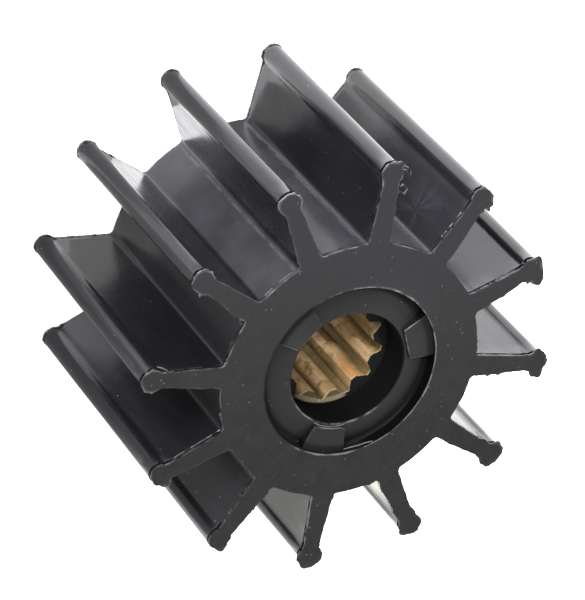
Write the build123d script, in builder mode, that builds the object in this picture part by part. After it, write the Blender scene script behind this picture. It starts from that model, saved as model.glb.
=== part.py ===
from build123d import *
from math import radians, sqrt, tan
import os

# A flexible-vane pump impeller: twelve straight rubber blades with beaded tips stand
# out from a thick hub, moulded in one piece round a splined brass insert.
# Millimetres. +Z runs along the shaft from the rear end face, at Z 0, to the front one.

# ---- driving dimensions: the moulding ----
length = 41.3  # end face to end face, hub and blades alike
outside_diameter = 65.0  # over the beads
blade_count = 12
hub_diameter = 40.4
bead_diameter = 3.4
blade_root_thickness = 3.3
blade_neck_thickness = 2.1  # just under the bead
neck_fillet = 1.2  # where the blade flows into its bead
valley_fillet = 0.8  # where the blade grows out of the hub

# ---- driving dimensions: the recess in each end of the hub ----
recess_diameter = 26.9
recess_depth = 2.0  # at the outer wall
floor_rise = 1.2  # the floor climbs this much from the wall to the lip of the bore
corner_bevel = 0.3  # round the foot of the recess wall
lip_bevel = 0.35  # round the mouth of the bore
lug_count = 3
lug_sweep = 30.5  # degrees taken up by one lug
lug_bearing = -6.5  # degrees from the first blade to the first lug
lug_top_drop = 0.4  # lug tops below the end face
lug_step = 0.45  # lug faces behind the bore's wall

# ---- driving dimensions: the splined insert ----
spline_teeth = 12
spline_major_diameter = 16.5  # root to root of the grooves, for a 16 mm splined shaft
spline_tooth_height = 1.4
groove_bottom_width = 0.85
groove_mouth_width = 2.55
insert_diameter = 24.0
insert_setback = 6.3  # insert ends below the end faces
grip_count = 16
grip_radius = 1.1  # flutes down the outside that the rubber keys into
bore_margin = 0.6  # the rubber bore stands clear of the spline's root

# ---- worked out from them ----
tip_radius = outside_diameter / 2
bead_radius = bead_diameter / 2
bead_centre = tip_radius - bead_radius
hub_radius = hub_diameter / 2
recess_radius = recess_diameter / 2
spline_root = spline_major_diameter / 2
spline_tip = spline_root - spline_tooth_height
insert_radius = insert_diameter / 2
insert_length = length - 2 * insert_setback
insert_top = length - insert_setback
bore_radius = spline_root + bore_margin
overrun = 1.0  # how far a cutter runs out past a face
mid_plane = Plane.XY.offset(length / 2)

# ---- blade section: a taper from inside the hub to a round bead ----
blade_foot = hub_radius - valley_fillet
taper = (blade_root_thickness - blade_neck_thickness) / (bead_centre - hub_radius) / 2
foot_half = blade_root_thickness / 2 + taper * (hub_radius - blade_foot)
neck_half = blade_neck_thickness / 2

with BuildSketch() as blade:
    with BuildLine():
        Polyline(
            (blade_foot, -foot_half),
            (bead_centre, -neck_half),
            (bead_centre, neck_half),
            (blade_foot, foot_half),
            close=True,
        )
    make_face()
    with Locations((bead_centre, 0)):
        Circle(bead_radius)
    necks = blade.vertices().filter_by(lambda v: blade_foot < v.X < bead_centre)
    fillet(necks, neck_fillet)

# ---- cross-section of the whole moulding ----
with BuildSketch() as section:
    Circle(hub_radius)
    with PolarLocations(0, blade_count):
        add(blade.sketch)
    roots = section.vertices().filter_by(lambda v: abs(Vector(v.X, v.Y).length - hub_radius) < 0.001)
    fillet(roots, valley_fillet)

# ---- lug section: straight radial sides, and a flat face behind the bore's wall ----
lug_face = bore_radius + lug_step
lug_back = recess_radius + overrun  # buried in the wall of the recess
lug_slope = tan(radians(lug_sweep / 2))

with BuildSketch() as lug:
    with BuildLine():
        Polyline(
            (lug_face, -lug_face * lug_slope),
            (lug_back, -lug_back * lug_slope),
            (lug_back, lug_back * lug_slope),
            (lug_face, lug_face * lug_slope),
            close=True,
        )
    make_face()

# ---- end recess with its bore, as a cutter: the lugs are left standing in it ----
with BuildPart() as recess:
    with BuildSketch(Plane.XZ) as recess_profile:
        with BuildLine():
            Polyline(
                (0, length + overrun),
                (recess_radius, length + overrun),
                (recess_radius, length - recess_depth),
                (bore_radius, length - recess_depth + floor_rise),
                (bore_radius, insert_top),
                (0, insert_top),
                close=True,
            )
        make_face()
        wall_corners = recess_profile.vertices().group_by(Axis.X)[-1]
        chamfer(wall_corners.sort_by(Axis.Y)[0], corner_bevel)
        bore_corners = recess_profile.vertices().filter_by(lambda v: abs(v.X - bore_radius) < 0.001)
        chamfer(bore_corners.sort_by(Axis.Y)[-1], lip_bevel)
    revolve(axis=Axis.Z)
    with BuildSketch(Plane.XY.offset(length - lug_top_drop)):
        with PolarLocations(0, lug_count, start_angle=lug_bearing):
            add(lug.sketch)
    extrude(amount=-recess_depth, mode=Mode.SUBTRACT)

# ---- outline of the insert, shared with the pocket that the rubber makes round it ----
with BuildSketch() as insert_outline:
    Circle(insert_radius)
    with PolarLocations(insert_radius, grip_count):
        Circle(grip_radius, mode=Mode.SUBTRACT)

# ---- rubber body: hub, blades and beads in one moulding ----
with BuildPart() as rubber_body:
    add(section.sketch)
    extrude(amount=length)
    with BuildSketch(Plane.XY.offset(insert_setback)):
        add(insert_outline.sketch)
    extrude(amount=insert_length, mode=Mode.SUBTRACT)
    add(recess.part, mode=Mode.SUBTRACT)
    add(mirror(recess.part, about=mid_plane), mode=Mode.SUBTRACT)
rubber_body.part.label = "rubber_body"

# ---- one groove of the spline, from the axis out to its root ----
groove_half_bottom = groove_bottom_width / 2
groove_half_mouth = groove_mouth_width / 2
groove_mouth = sqrt(spline_tip**2 - groove_half_mouth**2)  # where the flanks meet the tooth tips

with BuildSketch() as groove:
    with BuildLine():
        Polyline(
            (0, -groove_half_mouth),
            (groove_mouth, -groove_half_mouth),
            (spline_root, -groove_half_bottom),
            (spline_root, groove_half_bottom),
            (groove_mouth, groove_half_mouth),
            (0, groove_half_mouth),
            close=True,
        )
    make_face()

# ---- brass insert: turned and fluted outside, splined through its bore ----
with BuildPart() as brass_insert:
    with BuildSketch(Plane.XY.offset(insert_setback)):
        add(insert_outline.sketch)
        Circle(spline_tip, mode=Mode.SUBTRACT)
        with PolarLocations(0, spline_teeth):
            add(groove.sketch, mode=Mode.SUBTRACT)
    extrude(amount=insert_length)
brass_insert.part.label = "brass_insert"

os.makedirs("parts", exist_ok=True)
export_step(rubber_body.part, "parts/rubber_body.step")
export_step(brass_insert.part, "parts/brass_insert.step")
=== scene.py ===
import math

import bmesh
import bpy
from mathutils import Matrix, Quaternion, Vector, noise
from mathutils.kdtree import KDTree


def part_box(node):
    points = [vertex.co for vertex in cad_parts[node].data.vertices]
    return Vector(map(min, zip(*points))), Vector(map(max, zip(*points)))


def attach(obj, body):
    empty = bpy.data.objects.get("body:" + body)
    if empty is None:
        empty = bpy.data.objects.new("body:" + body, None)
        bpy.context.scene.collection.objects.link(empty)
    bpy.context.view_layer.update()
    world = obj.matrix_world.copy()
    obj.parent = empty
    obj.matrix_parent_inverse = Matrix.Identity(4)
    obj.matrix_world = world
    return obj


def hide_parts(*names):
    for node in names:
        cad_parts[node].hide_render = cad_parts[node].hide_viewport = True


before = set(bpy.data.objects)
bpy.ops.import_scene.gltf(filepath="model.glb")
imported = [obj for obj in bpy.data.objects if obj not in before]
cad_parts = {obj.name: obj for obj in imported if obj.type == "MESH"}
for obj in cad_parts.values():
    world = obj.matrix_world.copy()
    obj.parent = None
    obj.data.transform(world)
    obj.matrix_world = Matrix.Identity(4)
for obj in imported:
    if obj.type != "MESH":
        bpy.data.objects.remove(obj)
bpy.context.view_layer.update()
bpy.ops.object.select_all(action="DESELECT")

MM = 0.001

# ---- Camera ------------------------------------------------------------------------------------
# A long lens looks down on the front end face. It is rolled, as if the part lay on its blade tips.
CAMERA_AIM = Vector((-0.06, -0.74, 20.65)) * MM
CAMERA_DISTANCE = 514.45 * MM
CAMERA_BEARING = math.radians(-12.685)
CAMERA_HEIGHT = math.radians(50.952)
CAMERA_ROLL = math.radians(137.772)
CAMERA_LENS = 210.98  # focal length and sensor width are in millimetres
CAMERA_SENSOR = 36.0
CAMERA_CLIP = (0.01, 20.0)

towards_camera = Vector(
    (
        math.cos(CAMERA_BEARING) * math.cos(CAMERA_HEIGHT),
        math.sin(CAMERA_BEARING) * math.cos(CAMERA_HEIGHT),
        math.sin(CAMERA_HEIGHT),
    )
)
camera = bpy.data.objects.new("camera", bpy.data.cameras.new("camera"))
bpy.context.scene.collection.objects.link(camera)
camera.location = CAMERA_AIM + towards_camera * CAMERA_DISTANCE
camera.rotation_mode = "QUATERNION"
camera.rotation_quaternion = towards_camera.to_track_quat("Z", "Y") @ Quaternion((0, 0, 1), CAMERA_ROLL)
camera.data.lens = CAMERA_LENS
camera.data.sensor_width = CAMERA_SENSOR
camera.data.clip_start, camera.data.clip_end = CAMERA_CLIP
bpy.context.scene.camera = camera
bpy.context.scene.view_settings.view_transform = "Standard"


def linear(hex_colour):
    """An sRGB hex value as the linear colour that a shader takes."""
    channels = [int(hex_colour[i : i + 2], 16) / 255 for i in (1, 3, 5)]
    return [c / 12.92 if c <= 0.04045 else ((c + 0.055) / 1.055) ** 2.4 for c in channels] + [1.0]


def add_node(tree, kind, inputs=None, **settings):
    """Adds one node, sets its properties, and fills or links its input sockets.

    A socket goes by its name or its number: in a Map Range 1 and 2 are the range that it reads, and 3 and 4
    the one that it gives, 0 to 1 unless set; in a Mix 0 is the share, and 6 and 7 are the two colours.
    """
    made = tree.nodes.new(kind)
    for name, value in settings.items():
        setattr(made, name, value)
    for socket, value in (inputs or {}).items():
        if isinstance(value, bpy.types.NodeSocket):
            tree.links.new(value, made.inputs[socket])
        else:
            made.inputs[socket].default_value = value
    return made


# ---- Lit table and studio light ----------------------------------------------------------------
# The part stands on a white acrylic table lit from below, inside a white tent. The lamps under the
# table are uneven, and that is what draws the soft bands along the beads and the blades.
TABLE_SIZE = 6.0
TABLE_DROP = 0.02 * MM  # keeps the table's face clear of the part's
TABLE_GLOW = 1.1
LAMPS = (  # under the table: centre x and y, full out to, gone at, and added glow
    (6 * MM, -66 * MM, 22 * MM, 76 * MM, 1.22),
    (-62 * MM, 0 * MM, 12 * MM, 60 * MM, 1.0),
    (-8 * MM, 60 * MM, 10 * MM, 45 * MM, 0.2),
    (22 * MM, -7 * MM, 4 * MM, 12 * MM, 0.9),
)
TENT_LIGHT = 0.6

bpy.ops.mesh.primitive_plane_add(size=TABLE_SIZE, location=(0, 0, -TABLE_DROP))
table = bpy.context.object
table.name = "lit_table"
white_acrylic = bpy.data.materials.new("white_acrylic_lit_table")
white_acrylic.use_nodes = True
tree = white_acrylic.node_tree
shader = tree.nodes["Principled BSDF"]
shader.inputs["Base Color"].default_value = linear("#c8c8c8")
shader.inputs["Roughness"].default_value = 0.6
shader.inputs["Emission Color"].default_value = linear("#fcfcff")
place = add_node(tree, "ShaderNodeTexCoord").outputs["Object"]
glow = TABLE_GLOW
for x, y, full, gone, added in LAMPS:
    reach = add_node(tree, "ShaderNodeVectorMath", {0: place, 1: (x, y, 0)}, operation="DISTANCE")
    lamp = add_node(
        tree,
        "ShaderNodeMapRange",
        {"Value": reach.outputs["Value"], 1: full, 2: gone, 3: added, 4: 0.0},
        interpolation_type="SMOOTHSTEP",
    )
    glow = add_node(tree, "ShaderNodeMath", {0: glow, 1: lamp.outputs[0]}).outputs[0]
tree.links.new(glow, shader.inputs["Emission Strength"])
table.data.materials.append(white_acrylic)

# Cards lie on the table round the part, hidden from the camera. Each makes what one side of a blade or of
# the hub mirrors darker, lighter or creamier than the bare table does.
CARDS = (  # bearings from and to in degrees, inner and outer radius, glow and colour
    ("black_card", 20, 80, 29 * MM, 62 * MM, 0.45, "#ffffff"),
    ("grey_card_low", 6, 20, 29 * MM, 90 * MM, 0.75, "#ffffff"),
    ("grey_card_hub", -36, 3, 26.5 * MM, 47 * MM, 0.9, "#ffffff"),
    ("grey_card_right", -54, -36, 19 * MM, 27 * MM, 0.7, "#ffffff"),
    ("grey_card_left", 8, 24, 19 * MM, 27 * MM, 0.95, "#ffffff"),
    ("grey_card_top", -84, -58, 19 * MM, 28.5 * MM, 1.25, "#ffffff"),
    ("cream_card_low", 88, 112, 29 * MM, 60 * MM, 1.3, "#f9fbee"),
    ("cream_card", 128, 158, 27 * MM, 60 * MM, 2.8, "#fbfbea"),
)
CARD_LIFT = 0.2 * MM
CARD_STEPS = 90
for name, bearing_from, bearing_to, inner_radius, outer_radius, glow, tint in CARDS:
    bpy.ops.mesh.primitive_circle_add(
        vertices=CARD_STEPS, radius=inner_radius, location=(0, 0, CARD_LIFT)
    )
    card = bpy.context.object
    card.name = name
    bpy.ops.object.transform_apply(location=True, rotation=True, scale=True)
    bpy.ops.object.mode_set(mode="EDIT")
    bpy.ops.mesh.select_all(action="SELECT")
    bpy.ops.mesh.extrude_edges_move()
    spread = outer_radius / inner_radius
    bpy.ops.transform.resize(value=(spread, spread, 1), center_override=(0, 0, CARD_LIFT))
    bpy.ops.mesh.select_mode(type="FACE")
    cage = bmesh.from_edit_mesh(card.data)
    for face in cage.faces:
        centre = face.calc_center_median()
        face.select = not bearing_from < math.degrees(math.atan2(centre.y, centre.x)) < bearing_to
    bmesh.update_edit_mesh(card.data)
    bpy.ops.mesh.delete(type="FACE")
    bpy.ops.object.mode_set(mode="OBJECT")
    card_paper = bpy.data.materials.new(name)
    card_paper.use_nodes = True
    shader = card_paper.node_tree.nodes["Principled BSDF"]
    shader.inputs["Base Color"].default_value = linear("#000000")
    shader.inputs["Roughness"].default_value = 1.0
    shader.inputs["Emission Color"].default_value = linear(tint)
    shader.inputs["Emission Strength"].default_value = glow
    card.data.materials.append(card_paper)
    card.visible_camera = False
    card.visible_diffuse = False
    card.visible_shadow = False

tent = bpy.data.worlds.new("white_tent")
tent.use_nodes = True
tent.node_tree.nodes["Background"].inputs["Color"].default_value = linear("#ffffff")
tent.node_tree.nodes["Background"].inputs["Strength"].default_value = TENT_LIGHT
bpy.context.scene.world = tent


def hang_light(name, lamp, aim, towards, distance):
    """Hangs a lamp at a distance from the place it aims at, turned to face that place."""
    light = bpy.data.objects.new(name, lamp)
    bpy.context.scene.collection.objects.link(light)
    light.location = aim + towards * distance
    light.rotation_mode = "QUATERNION"
    light.rotation_quaternion = towards.to_track_quat("Z", "Y")


SOFT_BOX_AIM = Vector((0, 0, 20 * MM))
SOFT_BOXES = (  # bearing and height in degrees, distance, width, height, watts
    (-52, 14, 450 * MM, 360 * MM, 160 * MM, 0.6),
    (132, 10, 380 * MM, 420 * MM, 120 * MM, 0.6),
    (-12, 30, 420 * MM, 200 * MM, 160 * MM, 1.6),
)
for bearing, height, distance, width, tall, watts in SOFT_BOXES:
    towards = Vector((math.cos(math.radians(bearing)), math.sin(math.radians(bearing)), 0))
    towards = towards * math.cos(math.radians(height)) + Vector((0, 0, math.sin(math.radians(height))))
    lamp = bpy.data.lights.new("soft_box", "AREA")
    lamp.shape = "RECTANGLE"
    lamp.size = width
    lamp.size_y = tall
    lamp.energy = watts
    hang_light("soft_box", lamp, SOFT_BOX_AIM, towards, distance)

# Two narrow spots, one to each side of the camera, reach down the bore to the splines: a key and a fill.
SPOT_AIM = Vector((-7.0, 0.5, 31)) * MM
SPOT_DISTANCE = 400 * MM
SPOT_ANGLE = math.radians(2.2)
SPOT_BLEND = 0.7
SPOT_SOURCE = 4 * MM
SPOTS = (  # the way to the spot, and its watts
    (Vector((0.42, -0.48, 0.77)), 5.4),
    (Vector((0.6, 0.05, 0.8)), 2.2),
)
for towards, watts in SPOTS:
    lamp = bpy.data.lights.new("bore_spot", "SPOT")
    lamp.energy = watts
    lamp.spot_size = SPOT_ANGLE
    lamp.spot_blend = SPOT_BLEND
    lamp.shadow_soft_size = SPOT_SOURCE
    hang_light("bore_spot", lamp, SPOT_AIM, towards.normalized(), SPOT_DISTANCE)


# ---- Rubber body -------------------------------------------------------------------------------
# Hub, blades and beads are one compression moulding in black nitrile rubber, taken hot from a
# polished mould, with a thin flash round both ends where the mould's end plates closed.
body_low, body_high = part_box("rubber_body")
LENGTH = body_high.z - body_low.z
TIP_RADIUS = body_high.x
FLASH_REACH = 0.12 * MM  # how far the flash round the ends stands proud
BEAD_RADIUS = 1.58 * MM
BEAD_CENTRE = TIP_RADIUS - FLASH_REACH - BEAD_RADIUS
BEAD_SIDES = 64
BEAD_OPEN_SIDES = 10  # sides of the bead, each way, that the blade grows out of
NECK_HALF = 1.05 * MM
ROOT_HALF = 1.65 * MM
HUB_RADIUS = 20.2 * MM
VALLEY_RADIUS = 0.8 * MM
RIM_WIDTH = 0.14 * MM
HUB_RINGS = (17.0 * MM, 13.0 * MM)  # rings of edges across the hub's end faces
CORE_RADIUS = 8.0 * MM  # the blank's hole, cut away with the bore
CLOSE = 0.01 * MM  # places that are nearer than this count as one
BLADES = 12
SECTOR_HALF = math.pi / BLADES
END_LAYERS = (  # behind each end face: depth, share of the flash, share of the crack behind it
    (0.0, 0.85, 0.0),
    (0.06 * MM, 1.0, 0.0),
    (0.24 * MM, 0.85, 0.0),
    (0.34 * MM, 0.0, 1.0),
    (0.72 * MM, 0.0, 1.0),
    (0.84 * MM, 0.1, -0.3),
    (1.1 * MM, 0.0, 0.0),
)
BODY_LAYERS = 14
SIDE_STEPS = 28


def arc(centre_x, centre_y, radius, start, end, steps):
    """Points along an arc after its first one, in the blade's section."""
    angles = [start + (end - start) * i / steps for i in range(1, steps + 1)]
    return [(centre_x + radius * math.cos(a), centre_y + radius * math.sin(a)) for a in angles]


taper = (ROOT_HALF - NECK_HALF) / (BEAD_CENTRE - HUB_RADIUS)
slant = math.hypot(1, taper)
side_line = NECK_HALF + taper * BEAD_CENTRE  # taper * x + y along the blade's side
side_angle = math.atan2(-1, -taper)

open_angle = BEAD_OPEN_SIDES * math.tau / BEAD_SIDES
lean = math.sin(open_angle) - taper * math.cos(open_angle)
neck_radius = (BEAD_RADIUS * lean - NECK_HALF) / (slant - lean)
neck_reach = BEAD_RADIUS + neck_radius
neck_x = BEAD_CENTRE - neck_reach * math.cos(open_angle)
neck_y = neck_reach * math.sin(open_angle)

valley_c = side_line + VALLEY_RADIUS * slant
valley_r = HUB_RADIUS + VALLEY_RADIUS
valley_x = (taper * valley_c + math.sqrt(slant**2 * valley_r**2 - valley_c**2)) / slant**2
valley_y = valley_c - taper * valley_x
valley_bearing = math.atan2(valley_y, valley_x)
blade_meets = valley_x + VALLEY_RADIUS * math.cos(side_angle)

stations = arc(neck_x, neck_y, neck_radius, -open_angle, side_angle, 5)
neck_end = stations[-1][0]
for i in range(1, SIDE_STEPS + 1):
    x = neck_end + (blade_meets - neck_end) * i / SIDE_STEPS
    stations.append((x, side_line - taper * x))
stations += arc(valley_x, valley_y, VALLEY_RADIUS, side_angle, valley_bearing - math.pi, 5)
stations += arc(0, 0, HUB_RADIUS, valley_bearing, SECTOR_HALF, 7)
for radius in (HUB_RADIUS - RIM_WIDTH, *HUB_RINGS, CORE_RADIUS):
    stations.append((radius * math.cos(SECTOR_HALF), radius * math.sin(SECTOR_HALF)))

layers = [depth for depth, flash, crack in END_LAYERS]
inner = LENGTH - 2 * layers[-1]
body_layers = [layers[-1] + inner * i / BODY_LAYERS for i in range(1, BODY_LAYERS)]
layers += body_layers + [LENGTH - depth for depth in reversed(layers)]

bpy.ops.mesh.primitive_circle_add(
    vertices=BEAD_SIDES, radius=BEAD_RADIUS, fill_type="NGON", location=(BEAD_CENTRE, 0, 0)
)
body = bpy.context.object
body.name = "rubber_moulding"
bpy.ops.object.transform_apply(location=True, rotation=True, scale=True)
bpy.ops.object.mode_set(mode="EDIT")
bpy.ops.mesh.select_mode(type="FACE")
bpy.ops.mesh.select_all(action="SELECT")
for low, high in zip(layers, layers[1:]):
    bpy.ops.mesh.extrude_region_move(TRANSFORM_OT_translate={"value": (0, 0, high - low)})
bpy.ops.mesh.select_all(action="DESELECT")
cage = bmesh.from_edit_mesh(body.data)
facing = -math.cos(open_angle)
for face in cage.faces:
    flat = face.calc_center_median() - Vector((BEAD_CENTRE, 0, 0))
    face.select = abs(face.normal.z) < 0.5 and flat.x < facing * Vector((flat.x, flat.y)).length
bmesh.update_edit_mesh(body.data)
opening_x = BEAD_CENTRE - BEAD_RADIUS * math.cos(open_angle)
bpy.ops.transform.resize(value=(0, 1, 1), center_override=(opening_x, 0, 0))
half = BEAD_RADIUS * math.sin(open_angle)
for x, y in stations:
    bpy.ops.mesh.extrude_region_move()
    bpy.ops.transform.resize(value=(0, y / half, 1), center_override=(x, 0, 0))
    half = y
bpy.ops.mesh.select_all(action="DESELECT")
cage = bmesh.from_edit_mesh(body.data)
for face in cage.faces:
    centre = face.calc_center_median()
    on_cut = abs(abs(math.atan2(centre.y, centre.x)) - SECTOR_HALF) < 0.002
    face.select = on_cut and abs(face.normal.z) < 0.5 and Vector(centre.xy).length < HUB_RADIUS
bmesh.update_edit_mesh(body.data)
bpy.ops.mesh.delete(type="FACE")
cage = bmesh.from_edit_mesh(body.data)
for face in cage.faces:
    face.select = len(face.verts) > BEAD_SIDES / 2
bmesh.update_edit_mesh(body.data)
bpy.ops.mesh.inset(thickness=RIM_WIDTH)
bpy.ops.mesh.select_all(action="SELECT")
bpy.ops.mesh.spin(
    steps=BLADES - 1,
    dupli=True,
    angle=math.tau * (BLADES - 1) / BLADES,
    center=(0, 0, 0),
    axis=(0, 0, 1),
)
bpy.ops.mesh.select_all(action="SELECT")
bpy.ops.mesh.remove_doubles(threshold=CLOSE)
bpy.ops.mesh.normals_make_consistent(inside=False)
bpy.ops.object.mode_set(mode="OBJECT")

# Trimming the flash left a ragged rim on both end faces, thickest round the beads, and the rubber has
# pulled back in a crack behind it. The lobes are places where more of it was left, or less.
BEAD_CRACK = 0.4 * MM
SIDE_CRACK = 0.1 * MM
BEAD_FLASH = 1.8
BLADE_FLASH = 0.7
HUB_FLASH = 0.4
TEAR_REACH = 0.8 * MM
RAG_SIZES = (2.3 * MM, 0.85 * MM, 0.4 * MM)  # of the coarse, the middling and the fine noise along the rim
FRONT_SEED = 11
REAR_SEED = 37
RIPPLE = 0.025 * MM
RIPPLE_SIZE = 4.5 * MM
REAR_FLASH = 0.5  # the rear end was trimmed closer: its flash and its crack, as shares of the front's
REAR_CRACK = 0.1
FRONT_LOBES = (  # x, y, reach and spread in millimetres
    (0.1, -32.4, 0.12, 0.80),
    (-1.3, -31.8, 0.24, 1.20),
    (-1.5, -30.4, 0.25, 0.80),
    (-15.2, -28.2, 0.68, 0.45),
    (-16.2, -28.1, 0.40, 0.60),
    (-16.9, -27.3, 0.47, 0.60),
    (-17.0, -26.5, 0.90, 0.50),
    (-16.8, -25.9, 0.90, 0.50),
    (-16.0, -25.2, 0.50, 0.45),
    (-15.3, -24.2, -0.28, 0.35),
    (-25.8, -16.7, 0.80, 0.60),
    (-26.9, -17.0, 0.31, 0.60),
    (-27.9, -16.4, 0.15, 0.60),
    (-28.1, -14.8, 0.33, 0.50),
    (-27.9, -14.4, 0.83, 0.55),
    (-27.3, -13.9, 0.35, 0.40),
    (-30.6, -1.6, 0.50, 0.50),
    (-32.0, -1.0, 0.17, 0.70),
    (-32.3, 0.3, 0.41, 0.60),
    (-31.4, 1.5, 0.59, 0.70),
    (-30.5, 1.5, 0.17, 0.50),
    (-25.7, 13.5, 0.44, 0.80),
    (-27.6, 14.1, 0.24, 0.60),
    (-26.4, 16.9, 0.30, 0.50),
    (-14.5, 27.9, 0.41, 0.90),
    (-15.8, 28.2, 0.67, 0.90),
    (-17.0, 26.8, 0.58, 0.90),
    (-16.5, 27.8, 0.41, 0.70),
    (-1.1, 31.9, 0.38, 0.60),
    (-0.2, 32.4, -0.23, 0.60),
    (-1.6, 30.7, -0.21, 0.60),
    (16.8, 27.3, -0.06, 0.50),
    (16.2, 28.1, -0.25, 0.60),
    (14.7, 28.1, -0.13, 0.50),
    (14.1, 27.6, 0.49, 0.45),
    (13.9, 27.0, 0.49, 0.40),
    (-14.1, -21.1, 0.35, 0.45),
    (-13.8, -19.7, 0.40, 0.40),
    (-12.3, -18.7, 0.35, 0.45),
    (-20.8, -10.1, 0.40, 0.40),
)

middle_z = body_layers[len(body_layers) // 2]
outline = KDTree(len(body.data.vertices))
for vertex in body.data.vertices:
    if abs(vertex.co.z - middle_z) < CLOSE:
        outline.insert((vertex.co.x, vertex.co.y, 0), vertex.index)
outline.balance()
facing_out = {v.index: v.normal.copy() for v in body.data.vertices}


def rag(place, size, seed):
    """Smooth noise from -1 to 1 along the outline, the same on every run."""
    return noise.noise(place / size + Vector((seed, 2 * seed, 0)))


def trimmed_rim(place, end_seed):
    """How far the flash stands out, and how deep the crack behind it is, at a place on the outline."""
    radius = Vector(place.xy).length
    on_bead = min(max((radius - BEAD_CENTRE + neck_reach) / BEAD_RADIUS, 0), 1)
    on_blade = min(max((radius - HUB_RADIUS) / BEAD_RADIUS, 0), 1)
    amount = HUB_FLASH + (BLADE_FLASH - HUB_FLASH) * on_blade + (BEAD_FLASH - BLADE_FLASH) * on_bead
    coarse, middling, fine = [rag(place, size, end_seed + i) for i, size in enumerate(RAG_SIZES)]
    reach = FLASH_REACH * amount * (0.8 + 0.6 * coarse + 0.9 * middling + 0.7 * fine)
    reach += TEAR_REACH * max(0, coarse - 0.18) * (0.6 + 1.6 * fine)
    crack = SIDE_CRACK + (BEAD_CRACK - SIDE_CRACK) * on_bead
    return reach, crack * (0.75 + 0.8 * middling + 0.6 * coarse)


for vertex in body.data.vertices:
    place = Vector((vertex.co.x, vertex.co.y, 0))
    index, away = outline.find(place)[1:]
    if away > 2 * CLOSE or place.length < HUB_RADIUS - VALLEY_RADIUS:
        continue
    outwards = facing_out[index]
    depth = min(vertex.co.z, LENGTH - vertex.co.z)
    front = vertex.co.z > LENGTH / 2
    move = RIPPLE * noise.noise(vertex.co / RIPPLE_SIZE) * min(1, depth / END_LAYERS[-1][0])
    for layer_depth, flash, crack in END_LAYERS:
        if abs(depth - layer_depth) < CLOSE:
            rim, gap = trimmed_rim(place, FRONT_SEED if front else REAR_SEED)
            if not front:
                move += flash * rim * REAR_FLASH - crack * gap * REAR_CRACK
                continue
            move += flash * rim - crack * gap
            for x, y, reach, spread in FRONT_LOBES:
                off = (place - Vector((x, y, 0)) * MM).length / (spread * MM)
                move += flash * reach * MM * math.exp(-off * off)
    vertex.co += outwards * move

# Each blade has taken a slight set of its own: its lean at the front and at the rear end, towards the
# next blade anticlockwise, and how far its tip is drawn out at the front.
BLADE_SETS = (  # from the blade at +X, anticlockwise
    (-0.08, 0.03, -0.42),
    (0.01, -0.13, 0.14),
    (-0.08, 0.01, -0.02),
    (0.06, 0.05, 0.0),
    (0.07, 0.05, -0.52),
    (0.49, 0.3, 0.05),
    (0.47, 0.3, 0.0),
    (-0.01, 0.1, -0.09),
    (0.29, 0.2, -0.55),
    (0.51, 0.25, 0.0),
    (0.34, -0.31, 0.32),
    (-0.13, -0.04, 0.03),
)
for vertex in body.data.vertices:
    radius = Vector(vertex.co.xy).length
    out = (radius - HUB_RADIUS) / (BEAD_CENTRE - HUB_RADIUS)
    if out <= 0:
        continue
    bearing = math.atan2(vertex.co.y, vertex.co.x) % math.tau
    blade = round(bearing / (math.tau / BLADES)) % BLADES
    front_lean, rear_lean, draw = BLADE_SETS[blade]
    forward = vertex.co.z / LENGTH
    lean = rear_lean + (front_lean - rear_lean) * forward
    along = Vector((math.cos(blade * math.tau / BLADES), math.sin(blade * math.tau / BLADES), 0))
    across = Vector((-along.y, along.x, 0))
    vertex.co += (across * lean * out * out + along * draw * forward * out) * MM
    vertex.co.x = min(max(vertex.co.x, body_low.x), body_high.x)
    vertex.co.y = min(max(vertex.co.y, body_low.y), body_high.y)
body.data.update()

# The recess in each end, the bore and the pocket round the insert are what the mould's core leaves.
RECESS_RADIUS = 13.45 * MM
RECESS_DEPTH = 2.0 * MM
FLOOR_RISE = 1.2 * MM
CORNER_RADIUS = 0.5 * MM
LIP_RADIUS = 0.35 * MM
BORE_RADIUS = 8.85 * MM
POCKET_RADIUS = 12.0 * MM
INSERT_SETBACK = 6.3 * MM
CORE_SIDES = 144
OVERRUN = 1.0 * MM
LUGS = 3
LUG_HALF = math.radians(15.25)
LUG_BEARING = math.radians(-6.5)
LUG_TOP_DROP = 0.4 * MM
LUG_FACE = BORE_RADIUS + 0.45 * MM
LUG_EDGE = 0.16 * MM

floor_slope = FLOOR_RISE / (RECESS_RADIUS - BORE_RADIUS)
mouth = [(RECESS_RADIUS, LENGTH - RECESS_DEPTH + CORNER_RADIUS)]
mouth += arc(RECESS_RADIUS - CORNER_RADIUS, mouth[0][1], CORNER_RADIUS, 0, -math.pi / 2, 7)
lip_x = BORE_RADIUS + LIP_RADIUS
lip_z = LENGTH - RECESS_DEPTH + FLOOR_RISE - floor_slope * LIP_RADIUS - LIP_RADIUS
mouth += [(lip_x, lip_z + LIP_RADIUS)]
mouth += arc(lip_x, lip_z, LIP_RADIUS, math.pi / 2, math.pi, 5)
mouth += [(BORE_RADIUS, LENGTH - INSERT_SETBACK), (POCKET_RADIUS, LENGTH - INSERT_SETBACK)]
rings = mouth + [(radius, LENGTH - z) for radius, z in reversed(mouth)] + [(RECESS_RADIUS, -OVERRUN)]

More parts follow.
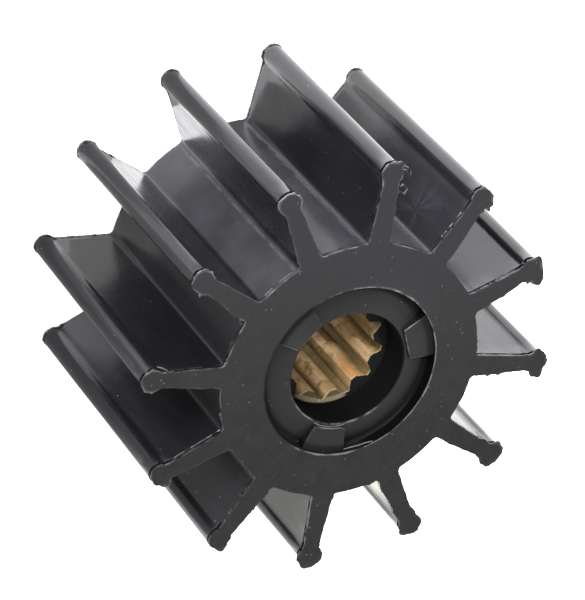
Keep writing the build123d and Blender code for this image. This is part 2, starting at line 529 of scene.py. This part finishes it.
bpy.ops.mesh.primitive_circle_add(
    vertices=CORE_SIDES, radius=RECESS_RADIUS, fill_type="NGON", location=(0, 0, LENGTH + OVERRUN)
)
core = bpy.context.object
bpy.ops.object.transform_apply(location=True, rotation=True, scale=True)
bpy.ops.object.mode_set(mode="EDIT")
bpy.ops.mesh.select_all(action="SELECT")
last_radius, last_z = RECESS_RADIUS, LENGTH + OVERRUN
for radius, z in rings:
    scale = radius / last_radius
    bpy.ops.mesh.extrude_region_move(TRANSFORM_OT_translate={"value": (0, 0, z - last_z)})
    bpy.ops.transform.resize(value=(scale, scale, 1), center_override=(0, 0, z))
    last_radius, last_z = radius, z
bpy.ops.mesh.select_all(action="SELECT")
bpy.ops.mesh.normals_make_consistent(inside=False)
bpy.ops.object.mode_set(mode="OBJECT")


def cut(piece, tool):
    """Cuts the tool's solid out of the piece, and clears the tool away."""
    boolean = piece.modifiers.new("cut", "BOOLEAN")
    boolean.object = tool
    boolean.operation = "DIFFERENCE"
    boolean.solver = "EXACT"
    bpy.ops.object.select_all(action="DESELECT")
    bpy.context.view_layer.objects.active = piece
    piece.select_set(True)
    bpy.ops.object.modifier_apply(modifier=boolean.name)
    bpy.data.objects.remove(tool)


lug_back = RECESS_RADIUS + OVERRUN
lug_height = RECESS_DEPTH
for end_z in (LENGTH - LUG_TOP_DROP - lug_height / 2, LUG_TOP_DROP + lug_height / 2):
    for turn in range(LUGS):
        middle = (LUG_FACE + lug_back) / 2
        bpy.ops.mesh.primitive_cube_add(size=1, location=(middle, 0, end_z))
        lug = bpy.context.object
        lug.scale = (lug_back - LUG_FACE, 1 * MM, lug_height)
        bpy.ops.object.transform_apply(location=True, rotation=True, scale=True)
        bpy.ops.object.mode_set(mode="EDIT")
        bpy.ops.mesh.select_mode(type="VERT")
        for x in (LUG_FACE, lug_back):
            bpy.ops.mesh.select_all(action="DESELECT")
            cage = bmesh.from_edit_mesh(lug.data)
            for vertex in cage.verts:
                vertex.select = abs(vertex.co.x - x) < CLOSE
            bmesh.update_edit_mesh(lug.data)
            widen = 2 * x * math.tan(LUG_HALF) / MM
            bpy.ops.transform.resize(value=(1, widen, 1), center_override=(x, 0, end_z))
        bpy.ops.mesh.select_all(action="SELECT")
        bpy.ops.mesh.bevel(offset=LUG_EDGE, segments=3)
        bpy.ops.transform.rotate(
            value=-(LUG_BEARING + turn * math.tau / LUGS), orient_axis="Z", center_override=(0, 0, 0)
        )
        bpy.ops.mesh.normals_make_consistent(inside=False)
        bpy.ops.object.mode_set(mode="OBJECT")
        cut(core, lug)
cut(body, core)

# Handling has worn grey the rims of both end faces, the edges of the lugs' tops, and the line that the
# mould's side plates left along the hub beside each blade. The grey grows towards one side, and that share is
# painted highlight.
BLADE_SHARE = 0.45  # the wear on the blades' rims and on the line, as shares of the beads' and the hub's
WITNESS_SHARE = 0.3
WITNESS_WIDTH = 0.05 * MM
RIM_DEPTH = END_LAYERS[2][0]
VALLEY_REACH = 1.5 * VALLEY_RADIUS  # how far from the hub's radius its rim still counts as the hub's
HIGHLIGHT_BEARING = math.radians(-40)  # the side where the edges carry the most painted highlight
EVEN_WEAR_SHARE = 0.62  # the share of the grey that is alike on all sides, the wear; the rest is painted highlight
FLAT_FACE = 0.95  # how upright a normal is, at least, where it belongs to the flat end face
LUG_ROUND = (0.2, 0.97)  # how upright normals are on the rounded edge of a lug
worn_lit_layer = body.data.attributes.new("worn_lit_edge", "FLOAT", "POINT")
for vertex in body.data.vertices:
    radius = Vector(vertex.co.xy).length
    depth = min(vertex.co.z, LENGTH - vertex.co.z)
    beside = math.atan2(vertex.co.y, vertex.co.x) % (2 * SECTOR_HALF)
    upright = abs(vertex.normal.z)
    on_rim = radius > HUB_RADIUS - VALLEY_REACH and depth < RIM_DEPTH
    in_recess = BORE_RADIUS < radius < RECESS_RADIUS - LUG_EDGE
    at_lug_top = LUG_TOP_DROP - CLOSE < depth < LUG_TOP_DROP + LUG_EDGE
    worn = 0.0
    if on_rim and upright < FLAT_FACE:
        on_blade = HUB_RADIUS + VALLEY_REACH < radius < BEAD_CENTRE - BEAD_RADIUS
        worn = BLADE_SHARE if on_blade else 1.0
    elif abs(radius - HUB_RADIUS) < WITNESS_WIDTH and abs(beside - valley_bearing) * radius < WITNESS_WIDTH:
        worn = WITNESS_SHARE
    elif in_recess and at_lug_top:
        worn = 1.0 if LUG_ROUND[0] < upright < LUG_ROUND[1] else 0.0
    # the grey grows towards one side: painted highlight where the edges catch the light
    turned = math.atan2(vertex.co.y, vertex.co.x) - HIGHLIGHT_BEARING
    worn_lit_layer.data[vertex.index].value = worn * (EVEN_WEAR_SHARE + (1 - EVEN_WEAR_SHARE) * math.cos(turned))


# Every face is the same nitrile rubber, and its finish tells how it was formed. The finishes share the way
# that specks and scuffs lie on them, and the painted light and shade that make one side of the part differ
# from the other.
def add_rubber(name):
    """Starts a rubber: the material, its tree and shader, and where on the part its patterns lie."""
    rubber = bpy.data.materials.new(name)
    rubber.use_nodes = True
    tree = rubber.node_tree
    return rubber, tree, tree.nodes["Principled BSDF"], add_node(tree, "ShaderNodeTexCoord").outputs["Object"]


def off_axis(tree, place):
    """How far a place lies from the shaft's axis."""
    flat = add_node(tree, "ShaderNodeVectorMath", {0: place, 1: (1, 1, 0)}, operation="MULTIPLY")
    return add_node(tree, "ShaderNodeVectorMath", {0: flat.outputs[0]}, operation="LENGTH").outputs["Value"]


def one_side(tree, place, side, start, full):
    """Rises from 0 to 1 on the way to one side of the part, between two distances from the axis."""
    reach = add_node(tree, "ShaderNodeVectorMath", {0: place, 1: side}, operation="DOT_PRODUCT")
    share = add_node(tree, "ShaderNodeMapRange", {"Value": reach.outputs["Value"], 1: start, 2: full})
    return share.outputs[0]


def specks(tree, place, spacing, rim, core, draw, least):
    """Specks with a soft rim, one to a cell, kept where the cell's random draw is more than the least."""
    cells = add_node(tree, "ShaderNodeTexVoronoi", {"Vector": place, "Scale": 1 / spacing})
    speck = add_node(tree, "ShaderNodeMapRange", {"Value": cells.outputs["Distance"], 1: rim, 2: core})
    draws = add_node(tree, "ShaderNodeSeparateColor", {"Color": cells.outputs["Color"]})
    kept = add_node(tree, "ShaderNodeMath", {0: draws.outputs[draw], 1: least}, operation="GREATER_THAN")
    share = add_node(tree, "ShaderNodeMath", {0: speck.outputs[0], 1: kept.outputs[0]}, operation="MULTIPLY")
    return share.outputs[0]


def scuff_and_highlight(tree, place, under, also=0.0):
    """Lays pale grey in broken dashes over the worn edges, and where also says: worn rubber, and painted
    highlight.
    """
    edge = add_node(tree, "ShaderNodeAttribute", attribute_name="worn_lit_edge").outputs["Fac"]
    edge = add_node(tree, "ShaderNodeMath", {0: edge, 1: also}, operation="MAXIMUM")
    dash = add_node(tree, "ShaderNodeTexNoise", {"Vector": place, "Scale": 1 / (1.7 * MM), "Detail": 6})
    kept = add_node(tree, "ShaderNodeMapRange", {"Value": dash.outputs["Fac"], 1: 0.38, 2: 0.6})
    share = add_node(tree, "ShaderNodeMath", {0: edge.outputs[0], 1: kept.outputs[0]}, operation="MULTIPLY")
    coat = {0: share.outputs[0], 6: under, 7: linear("#7c7d80")}
    return add_node(tree, "ShaderNodeMix", coat, data_type="RGBA").outputs[2]


HUB_SHADE_SIDE = (0.26, 0.97, 0)  # the side of the hub painted darker: painted shade
GLINT_PLACE = Vector((1.3, -23.3, 32.3)) * MM  # a painted reflection on the hub: a pale star drawn out from here
BLOOM_FULL = HUB_RADIUS + 0.15 * MM  # the hub's bloom fades out between these radii, up the valleys
BLOOM_GONE = HUB_RADIUS + 0.8 * MM

# Nitrile rubber, compression moulded: carbon black gives a near black with a cool cast, and the
# polished mould a gloss that shows soft bands. Dust and bloom lie on it as fine grey specks.
moulded, tree, shader, place = add_rubber("moulded_nitrile_rubber")
cloud = add_node(tree, "ShaderNodeTexNoise", {"Vector": place, "Scale": 1 / (6 * MM), "Detail": 3})
dust = specks(tree, place, 1.3 * MM, 0.1, 0.06, "Red", 0.8)
radius = off_axis(tree, place)
on_hub = add_node(
    tree, "ShaderNodeMapRange", {"Value": radius, 1: BLOOM_FULL, 2: BLOOM_GONE, 3: 1.0, 4: 0.0}
).outputs[0]
bloom = add_node(tree, "ShaderNodeTexNoise", {"Vector": place, "Scale": 1 / (5 * MM), "Detail": 7})
bloom = add_node(tree, "ShaderNodeMapRange", {"Value": bloom.outputs["Fac"], 1: 0.35, 2: 0.68})
# painted shade: the hub darker towards one side
hub_shade = one_side(tree, place, HUB_SHADE_SIDE, 3 * MM, 8 * MM)
bloomed = linear("#222227")
for share, coat in ((bloom.outputs[0], linear("#313238")), (hub_shade, linear("#151518"))):
    bloomed = add_node(tree, "ShaderNodeMix", {0: share, 6: bloomed, 7: coat}, data_type="RGBA").outputs[2]
shine = add_node(tree, "ShaderNodeMapRange", {"Value": on_hub, 3: 0.5, 4: 0.25})
tree.links.new(shine.outputs[0], shader.inputs["Specular IOR Level"])
# painted reflection: a pale star round one place, with a faint haze of light round it
apart = add_node(
    tree, "ShaderNodeVectorMath", {0: place, 1: GLINT_PLACE}, operation="DISTANCE"
).outputs["Value"]
near = add_node(tree, "ShaderNodeMapRange", {"Value": apart, 1: 1.5 * MM, 2: 5.5 * MM, 3: 1.0, 4: 0.0})
rays = add_node(tree, "ShaderNodeVectorMath", {0: place, 1: GLINT_PLACE}, operation="SUBTRACT")
rays = add_node(tree, "ShaderNodeVectorMath", {0: rays.outputs[0]}, operation="NORMALIZE")
rays = add_node(tree, "ShaderNodeTexNoise", {"Vector": rays.outputs[0], "Scale": 2.0, "Detail": 3})
rays = add_node(tree, "ShaderNodeMapRange", {"Value": rays.outputs["Fac"], 1: 0.44, 2: 0.62, 3: 0.1, 4: 0.9})
star_glint = add_node(tree, "ShaderNodeMath", {0: near.outputs[0], 1: rays.outputs[0]}, operation="MULTIPLY")
glint_haze = add_node(tree, "ShaderNodeMapRange", {"Value": apart, 1: 3 * MM, 2: 17 * MM, 3: 0.7, 4: 0.0})
colour = linear("#0f1013")
for share, coat in (
    (cloud.outputs["Fac"], linear("#1c1b20")),
    (dust, linear("#6d6e72")),
    (on_hub, bloomed),
    (glint_haze.outputs[0], linear("#2e2e34")),
    (star_glint.outputs[0], linear("#404048")),
):
    colour = add_node(tree, "ShaderNodeMix", {0: share, 6: colour, 7: coat}, data_type="RGBA").outputs[2]
tree.links.new(scuff_and_highlight(tree, place, colour), shader.inputs["Base Color"])
drawn = add_node(tree, "ShaderNodeMapping", {"Vector": place, "Scale": (1, 1, 0.15)}).outputs[0]
streak = add_node(tree, "ShaderNodeTexNoise", {"Vector": drawn, "Scale": 1 / (1.6 * MM), "Detail": 1})
dull = add_node(
    tree, "ShaderNodeMapRange", {"Value": streak.outputs["Fac"], 1: 0.3, 2: 0.7, 3: 0.2, 4: 0.28}
)
tree.links.new(dull.outputs[0], shader.inputs["Roughness"])
skin = add_node(tree, "ShaderNodeTexNoise", {"Vector": place, "Scale": 1 / (1.2 * MM), "Detail": 1})
wave = add_node(tree, "ShaderNodeTexNoise", {"Vector": place, "Scale": 1 / (3.5 * MM), "Detail": 1})
fine = add_node(
    tree, "ShaderNodeBump", {"Height": skin.outputs["Fac"], "Strength": 0.2, "Distance": 0.0015 * MM}
)
coarse = add_node(
    tree,
    "ShaderNodeBump",
    {"Height": wave.outputs["Fac"], "Strength": 0.6, "Distance": 0.07 * MM, "Normal": fine.outputs[0]},
)
tree.links.new(coarse.outputs[0], shader.inputs["Normal"])
body.data.materials.append(moulded)

EDGE_LIT_SIDE = (-0.87, -0.5, 0)  # the side of the recess where its edge catches the light and carries painted highlight
FACE_LIT_SIDE = (0.45, -0.89, 0)  # the side towards which the end faces are painted paler: painted light
MARKS_TURN = 0.6  # the marks run along Y whatever this is: it only picks another part of the noise
MOUTH_FULL = RECESS_RADIUS + 0.05 * MM  # the painted shade round the recess's edge, and the painted highlight on its lit side, fade between these
MOUTH_GONE = RECESS_RADIUS + 0.2 * MM

# The same rubber where the flash was ground off the end faces: matt, a greyer black with an olive cast,
# mottled, with grinding marks all one way, pits, and light crumbs of rubber and dust left in them.
ground, tree, shader, place = add_rubber("ground_nitrile_rubber")
shader.inputs["Roughness"].default_value = 0.62
cloud = add_node(tree, "ShaderNodeTexNoise", {"Vector": place, "Scale": 1 / (3 * MM), "Detail": 8})
cloud = add_node(tree, "ShaderNodeMapRange", {"Value": cloud.outputs["Fac"], 1: 0.3, 2: 0.7})
# painted light: the end faces paler towards one side
face_lit = one_side(tree, place, FACE_LIT_SIDE, -12 * MM, 19 * MM)
turned = add_node(
    tree, "ShaderNodeMapping", {"Vector": place, "Rotation": (0, 0, MARKS_TURN), "Scale": (1, 0.15, 1)}
).outputs[0]
marks = add_node(
    tree, "ShaderNodeTexNoise", {"Vector": turned, "Scale": 1 / (0.22 * MM), "Detail": 2}
).outputs["Fac"]
hatch = add_node(tree, "ShaderNodeMapRange", {"Value": marks, 1: 0.5, 2: 0.8, 3: 0.0, 4: 0.24})
crumbs = specks(tree, place, 0.7 * MM, 0.17, 0.1, "Red", 0.91)
waver = add_node(tree, "ShaderNodeTexNoise", {"Vector": place, "Scale": 1 / (1.5 * MM), "Detail": 3})
waver = add_node(tree, "ShaderNodeMapRange", {"Value": waver.outputs["Fac"], 3: -0.35 * MM, 4: 0.15 * MM})
radius = add_node(tree, "ShaderNodeMath", {0: off_axis(tree, place), 1: waver.outputs[0]})
mouth_edge = add_node(
    tree, "ShaderNodeMapRange", {"Value": radius.outputs[0], 1: MOUTH_FULL, 2: MOUTH_GONE, 3: 1, 4: 0}
).outputs[0]
edge_lit = one_side(tree, place, EDGE_LIT_SIDE, -8 * MM, -4 * MM)
# painted shade: a dark line round the recess's edge, away from its lit side
crack = add_node(tree, "ShaderNodeMath", {0: mouth_edge, 1: edge_lit}, operation="SUBTRACT")
# painted highlight: a pale line round the recess's edge, on its lit side
rim_highlight = add_node(tree, "ShaderNodeMath", {0: mouth_edge, 1: edge_lit}, operation="MULTIPLY")
colour = linear("#121213")
for share, coat in (
    (cloud.outputs[0], linear("#212120")),
    (face_lit, linear("#2f2f32")),
    (hatch.outputs[0], linear("#4a4b49")),
    (crumbs, linear("#7b7c7c")),
    (crack.outputs[0], linear("#060607")),
):
    colour = add_node(tree, "ShaderNodeMix", {0: share, 6: colour, 7: coat}, data_type="RGBA").outputs[2]
tree.links.new(scuff_and_highlight(tree, place, colour, also=rim_highlight.outputs[0]), shader.inputs["Base Color"])
pits = specks(tree, place, 0.7 * MM, 0.17, 0.1, "Green", 0.82)
grain = add_node(tree, "ShaderNodeTexNoise", {"Vector": place, "Scale": 1 / (0.3 * MM), "Detail": 4})
height = add_node(tree, "ShaderNodeMath", {0: grain.outputs["Fac"], 1: pits}, operation="SUBTRACT")
faint = add_node(tree, "ShaderNodeMath", {0: marks, 1: 0.4}, operation="MULTIPLY")
height = add_node(tree, "ShaderNodeMath", {0: height.outputs[0], 1: faint.outputs[0]})
bump = add_node(
    tree, "ShaderNodeBump", {"Height": height.outputs[0], "Strength": 0.8, "Distance": 0.05 * MM}
)
tree.links.new(bump.outputs[0], shader.inputs["Normal"])
body.data.materials.append(ground)

FRAYED_SIDE = (-0.26, 0.97, 0)  # the side of the bore's lip that is frayed
SHADED_SIDE = Vector((0.85, 0.53, 0))  # walls of the recess that face this way, turned from the light, are painted darker: painted shade
BORE_GONE = BORE_RADIUS + 0.3 * MM  # where the painted shade of the bore has faded out over its lip
SHINE_FULL = 12.0 * MM  # the floor of the recess loses its shine between these radii, towards its wall
SHINE_GONE = 12.7 * MM
FRAY_RADIUS = BORE_RADIUS + 0.2 * MM
FRAY_FULL = 0.05 * MM  # how far to either side of that radius the fray is full, and where it ends
FRAY_GONE = 0.16 * MM
SMOOTH_ANGLE = math.radians(32)  # faces that meet at less are shaded as one surface

# The recesses and the bore are the same rubber off a plain turned core: satin, an even soft black, with
# painted shade in the bore and on the walls turned from the light.
cored, tree, shader, place = add_rubber("core_moulded_nitrile_rubber")
cloud = add_node(tree, "ShaderNodeTexNoise", {"Vector": place, "Scale": 1 / (4 * MM), "Detail": 4})
dust = specks(tree, place, 0.9 * MM, 0.13, 0.08, "Red", 0.88)
radius = off_axis(tree, place)
# painted shade: the bore near black, fading out over its lip
in_bore = add_node(
    tree, "ShaderNodeMapRange", {"Value": radius, 1: BORE_RADIUS, 2: BORE_GONE, 3: 1, 4: 0}
).outputs[0]
dull = add_node(tree, "ShaderNodeMapRange", {"Value": in_bore, 3: 0.46, 4: 0.85})
tree.links.new(dull.outputs[0], shader.inputs["Roughness"])
# painted shade on the walls turned from the light
shaded = add_node(tree, "ShaderNodeAttribute", attribute_name="shaded_wall").outputs["Fac"]
shaded = add_node(tree, "ShaderNodeMapRange", {"Value": shaded, 1: 0.27, 2: 0.42})
colour = linear("#1a1b1c")
for share, coat in (
    (cloud.outputs["Fac"], linear("#242426")),
    (dust, linear("#6a6b6d")),
    (in_bore, linear("#050506")),
    (shaded.outputs[0], linear("#080809")),
):
    colour = add_node(tree, "ShaderNodeMix", {0: share, 6: colour, 7: coat}, data_type="RGBA").outputs[2]
hidden = add_node(tree, "ShaderNodeMapRange", {"Value": radius, 1: SHINE_FULL, 2: SHINE_GONE})
hidden = add_node(tree, "ShaderNodeMath", {0: hidden.outputs[0], 1: in_bore}, operation="MAXIMUM")
shine = add_node(tree, "ShaderNodeMapRange", {"Value": hidden.outputs[0], 3: 0.5, 4: 0.1})
tree.links.new(shine.outputs[0], shader.inputs["Specular IOR Level"])
lip = add_node(tree, "ShaderNodeMath", {0: radius, 1: FRAY_RADIUS}, operation="SUBTRACT")
lip = add_node(tree, "ShaderNodeMath", {0: lip.outputs[0]}, operation="ABSOLUTE")
lip = add_node(
    tree, "ShaderNodeMapRange", {"Value": lip.outputs[0], 1: FRAY_FULL, 2: FRAY_GONE, 3: 0.8, 4: 0.0}
)
frayed = one_side(tree, place, FRAYED_SIDE, 4 * MM, 6 * MM)
lip = add_node(tree, "ShaderNodeMath", {0: lip.outputs[0], 1: frayed}, operation="MULTIPLY")
tree.links.new(scuff_and_highlight(tree, place, colour, also=lip.outputs[0]), shader.inputs["Base Color"])
grain = add_node(tree, "ShaderNodeTexNoise", {"Vector": place, "Scale": 1 / (0.6 * MM), "Detail": 3})
bump = add_node(
    tree, "ShaderNodeBump", {"Height": grain.outputs["Fac"], "Strength": 0.6, "Distance": 0.02 * MM}
)
tree.links.new(bump.outputs[0], shader.inputs["Normal"])
body.data.materials.append(cored)

for face in body.data.polygons:
    depth = min(face.center.z, LENGTH - face.center.z)
    if depth < 2 * CLOSE and abs(face.normal.z) > 0.9:
        face.material_index = 1
    elif Vector(face.center.xy).length < RECESS_RADIUS:
        face.material_index = 2
bpy.context.view_layer.objects.active = body
body.select_set(True)
bpy.ops.object.shade_smooth_by_angle(angle=SMOOTH_ANGLE)
shaded_wall = body.data.attributes.new("shaded_wall", "FLOAT", "CORNER")
for corner, normal in enumerate(body.data.corner_normals):
    shaded_wall.data[corner].value = max(0.0, normal.vector.dot(SHADED_SIDE))
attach(body, "root")
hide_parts("rubber_body")


# ---- Torn shreds -------------------------------------------------------------------------------
# Where the flash was pulled off by hand it tore: thin strips of the same rubber still hang on, at two
# blade tips, along the recess and over the lip of the bore. They are rags of the one moulding.
SHREDS = (  # each: half thickness, then the points it runs through, in millimetres
    (0.13, (15.47, -28.14, 41.0), (15.24, -28.65, 41.1), (14.27, -28.75, 41.1), (13.33, -28.45, 41.0),
     (13.0, -27.91, 40.8)),
    (0.1, (14.87, -27.95, 41.0), (14.38, -28.37, 41.1), (13.6, -27.95, 41.0)),
    (0.12, (13.3, -25.83, 41.0), (13.22, -26.46, 41.1), (12.09, -26.23, 41.0), (11.9, -25.31, 40.9),
     (12.71, -25.34, 40.8)),
    (0.1, (-1.02, 9.23, 40.5), (-2.23, 9.11, 40.6), (-3.85, 8.53, 40.6), (-5.19, 7.64, 40.6),
     (-5.85, 6.88, 40.5)),
    (0.08, (-1.8, 9.47, 40.8), (-2.91, 9.12, 40.9), (-4.42, 8.42, 40.9), (-5.66, 7.59, 40.8)),
    (0.1, (27.75, 13.48, 41.1), (26.76, 13.25, 41.15), (25.39, 13.24, 41.1)),
    (0.1, (-11.57, 6.95, 41.1), (-10.75, 7.53, 41.15), (-9.65, 8.69, 41.15), (-8.0, 10.24, 41.1)),
)
SHRED_SIDES = 8
SHRED_TAPER = 0.4


def add_shred(thickness, points):
    """One strip of rubber, swept through the points and tapering to both ends."""
    path = [Vector(point) * MM for point in points]
    turn = (path[1] - path[0]).to_track_quat("Z", "X").to_euler()
    bpy.ops.mesh.primitive_circle_add(
        vertices=SHRED_SIDES,
        radius=thickness * MM * SHRED_TAPER,
        fill_type="NGON",
        location=path[0],
        rotation=turn,
    )
    made = bpy.context.object
    bpy.ops.object.transform_apply(location=True, rotation=True, scale=True)
    bpy.ops.object.mode_set(mode="EDIT")
    bpy.ops.mesh.select_mode(type="FACE")
    bpy.ops.mesh.select_all(action="SELECT")
    for i, (here, there) in enumerate(zip(path, path[1:])):
        middle = (here + there) / 2
        bpy.ops.mesh.extrude_region_move(TRANSFORM_OT_translate={"value": middle - here})
        if i == 0:
            widen = 1 / SHRED_TAPER
            bpy.ops.transform.resize(value=(widen, widen, widen), center_override=middle)
        bpy.ops.mesh.extrude_region_move(TRANSFORM_OT_translate={"value": there - middle})
    bpy.ops.transform.resize(value=(SHRED_TAPER,) * 3, center_override=path[-1])
    bpy.ops.mesh.select_all(action="SELECT")
    bpy.ops.mesh.normals_make_consistent(inside=False)
    bpy.ops.object.mode_set(mode="OBJECT")
    return made


strips = [add_shred(shred[0], shred[1:]) for shred in SHREDS]
bpy.ops.object.select_all(action="DESELECT")
for strip in strips:
    strip.select_set(True)
shreds = strips[0]
bpy.context.view_layer.objects.active = shreds
bpy.ops.object.join()
shreds.name = "torn_shreds"
bpy.ops.object.shade_smooth()

# Nitrile rubber, freshly torn: a broken surface is paler and duller than a moulded one, and part of its pale
# grey is painted highlight.
torn, tree, shader, place = add_rubber("torn_nitrile_rubber")
shader.inputs["Roughness"].default_value = 0.5
fray = add_node(tree, "ShaderNodeTexNoise", {"Vector": place, "Scale": 1 / (0.5 * MM), "Detail": 3})
coat = {0: fray.outputs["Fac"], 6: linear("#3c3c3e"), 7: linear("#8c8d90")}
colour = add_node(tree, "ShaderNodeMix", coat, data_type="RGBA")
tree.links.new(colour.outputs[2], shader.inputs["Base Color"])
shreds.data.materials.append(torn)
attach(shreds, "root")


# ---- Brass insert ------------------------------------------------------------------------------
# The splined insert is a brass bar, broached, grooved outside for grip, and moulded into the hub. Its
# node stays, with a better finish: old dull brass, and a film of rubber left over its front end.
insert = bpy.data.objects["brass_insert"]
insert_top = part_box("brass_insert")[1].z

# Brass, broached and then used: tan where rubbed, olive and brown where it has stained, pitted, with a
# copper-red streak where the zinc has gone out of one tooth. The rubber film is the mould's flash.
RED_BEARING = math.radians(168)  # of the tooth with the streak
RED_LOW = 28 * MM  # the streak fades in between these heights, and runs up to the front end
RED_FULL = 33 * MM
BARE_BEARING = math.radians(118)  # of the middle of the side without film
FILM_CREEP = 0.5 * MM
FILM_EDGE = 0.02 * MM  # the height over which the film begins
FRONT_DEPTH = 0.25 * MM  # how far below the front end the painted highlight along its edge reaches
FACE_FROM = 0.05 * MM  # how far below the front end the flat face's own colour starts, and is full
FACE_FULL = 0.01 * MM
GRIME_SHADE_FROM = 7.3 * MM  # grime and painted shade build up between these radii, down the flanks of the grooves
GRIME_SHADE_FULL = 8.1 * MM
RING_FROM = 7.7 * MM  # outside this radius the front face is paler
RING_FULL = 7.8 * MM
GAP_FROM = 8.5 * MM  # and outside this one the brass is painted black: painted shade in the crevice beside the rubber
GAP_FULL = 8.6 * MM
brass = bpy.data.materials.new("broached_stained_brass")
brass.use_nodes = True
tree = brass.node_tree
shader = tree.nodes["Principled BSDF"]
place = add_node(tree, "ShaderNodeTexCoord").outputs["Object"]
spot = add_node(tree, "ShaderNodeSeparateXYZ", {0: place})
drawn = add_node(tree, "ShaderNodeMapping", {"Vector": place, "Scale": (1, 1, 0.3)}).outputs[0]
stain = add_node(tree, "ShaderNodeTexNoise", {"Vector": drawn, "Scale": 1 / (2.5 * MM), "Detail": 4})
stained = add_node(tree, "ShaderNodeMapRange", {"Value": stain.outputs["Fac"], 1: 0.4, 2: 0.65})
patch = add_node(tree, "ShaderNodeTexNoise", {"Vector": place, "Scale": 1 / (1.5 * MM), "Detail": 5})
olive = add_node(tree, "ShaderNodeMapRange", {"Value": patch.outputs["Fac"], 1: 0.5, 2: 0.66})
brown = add_node(tree, "ShaderNodeMapRange", {"Value": patch.outputs["Fac"], 1: 0.64, 2: 0.74})
bearing = add_node(tree, "ShaderNodeMath", {0: spot.outputs["Y"], 1: spot.outputs["X"]}, operation="ARCTAN2")
red = add_node(tree, "ShaderNodeMath", {0: bearing.outputs[0], 1: RED_BEARING}, operation="SUBTRACT")
red = add_node(tree, "ShaderNodeMath", {0: red.outputs[0]}, operation="ABSOLUTE")
red = add_node(tree, "ShaderNodeMapRange", {"Value": red.outputs[0], 1: 0.02, 2: 0.16, 3: 0.7, 4: 0})
low_red = add_node(tree, "ShaderNodeMapRange", {"Value": spot.outputs["Z"], 1: RED_LOW, 2: RED_FULL})
red = add_node(tree, "ShaderNodeMath", {0: red.outputs[0], 1: low_red.outputs[0]}, operation="MULTIPLY")
radius = off_axis(tree, place)
# grime, with painted shade, down the flanks of the grooves
grime_and_shade = add_node(tree, "ShaderNodeMapRange", {"Value": radius, 1: GRIME_SHADE_FROM, 2: GRIME_SHADE_FULL, 3: 0.0, 4: 0.8})

# Only the front end carries the film, which has crept unevenly over the edge and left one side bare.
creep = add_node(tree, "ShaderNodeTexNoise", {"Vector": place, "Scale": 1 / (0.8 * MM), "Detail": 3})
level = add_node(tree, "ShaderNodeMath", {0: creep.outputs["Fac"], 1: FILM_CREEP}, operation="MULTIPLY")
level = add_node(tree, "ShaderNodeMath", {0: spot.outputs["Z"], 1: level.outputs[0]}).outputs[0]
bare = add_node(tree, "ShaderNodeMath", {0: bearing.outputs[0], 1: BARE_BEARING}, operation="SUBTRACT")
bare = add_node(tree, "ShaderNodeMath", {0: bare.outputs[0]}, operation="ABSOLUTE")
bare = add_node(tree, "ShaderNodeMapRange", {"Value": bare.outputs[0], 1: 0.45, 2: 0.55, 3: 0.8, 4: 0.0})
film = add_node(tree, "ShaderNodeMapRange", {"Value": level, 1: insert_top, 2: insert_top + FILM_EDGE})
film = add_node(
    tree, "ShaderNodeMath", {0: film.outputs[0], 1: bare.outputs[0]}, operation="SUBTRACT", use_clamp=True
)
# painted highlight: a pale line along the front edges of the teeth
front = add_node(tree, "ShaderNodeMapRange", {"Value": level, 1: insert_top - FRONT_DEPTH, 2: insert_top})
face = add_node(
    tree,
    "ShaderNodeMapRange",
    {"Value": spot.outputs["Z"], 1: insert_top - FACE_FROM, 2: insert_top - FACE_FULL},
)
ring = add_node(tree, "ShaderNodeMapRange", {"Value": radius, 1: RING_FROM, 2: RING_FULL})
ring = add_node(tree, "ShaderNodeMath", {0: ring.outputs[0], 1: face.outputs[0]}, operation="MULTIPLY")
# painted shade: black in the crevice beside the rubber
gap = add_node(tree, "ShaderNodeMapRange", {"Value": radius, 1: GAP_FROM, 2: GAP_FULL})
colour = linear("#e2c092")
for share, coat in (
    (stained.outputs[0], linear("#ab8c5c")),
    (olive.outputs[0], linear("#948754")),
    (brown.outputs[0], linear("#6d5a2a")),
    (red.outputs[0], linear("#e6a263")),
    (grime_and_shade.outputs[0], linear("#5a4a28")),
    (front.outputs[0], linear("#d9cba8")),
    (face.outputs[0], linear("#6f6340")),
    (ring.outputs[0], linear("#a89c82")),
    (gap.outputs[0], linear("#0b0b0a")),
    (film.outputs[0], linear("#0b0b0a")),
):
    colour = add_node(tree, "ShaderNodeMix", {0: share, 6: colour, 7: coat}, data_type="RGBA").outputs[2]
tree.links.new(colour, shader.inputs["Base Color"])
metal = add_node(tree, "ShaderNodeMapRange", {"Value": film.outputs[0], 3: 0.35, 4: 0.0})
tree.links.new(metal.outputs[0], shader.inputs["Metallic"])
shader.inputs["Roughness"].default_value = 0.5
pores = add_node(tree, "ShaderNodeTexNoise", {"Vector": place, "Scale": 1 / (0.45 * MM), "Detail": 5})
bump = add_node(
    tree, "ShaderNodeBump", {"Height": pores.outputs["Fac"], "Strength": 0.8, "Distance": 0.12 * MM}
)
tree.links.new(bump.outputs[0], shader.inputs["Normal"])
insert.data.materials.clear()
insert.data.materials.append(brass)
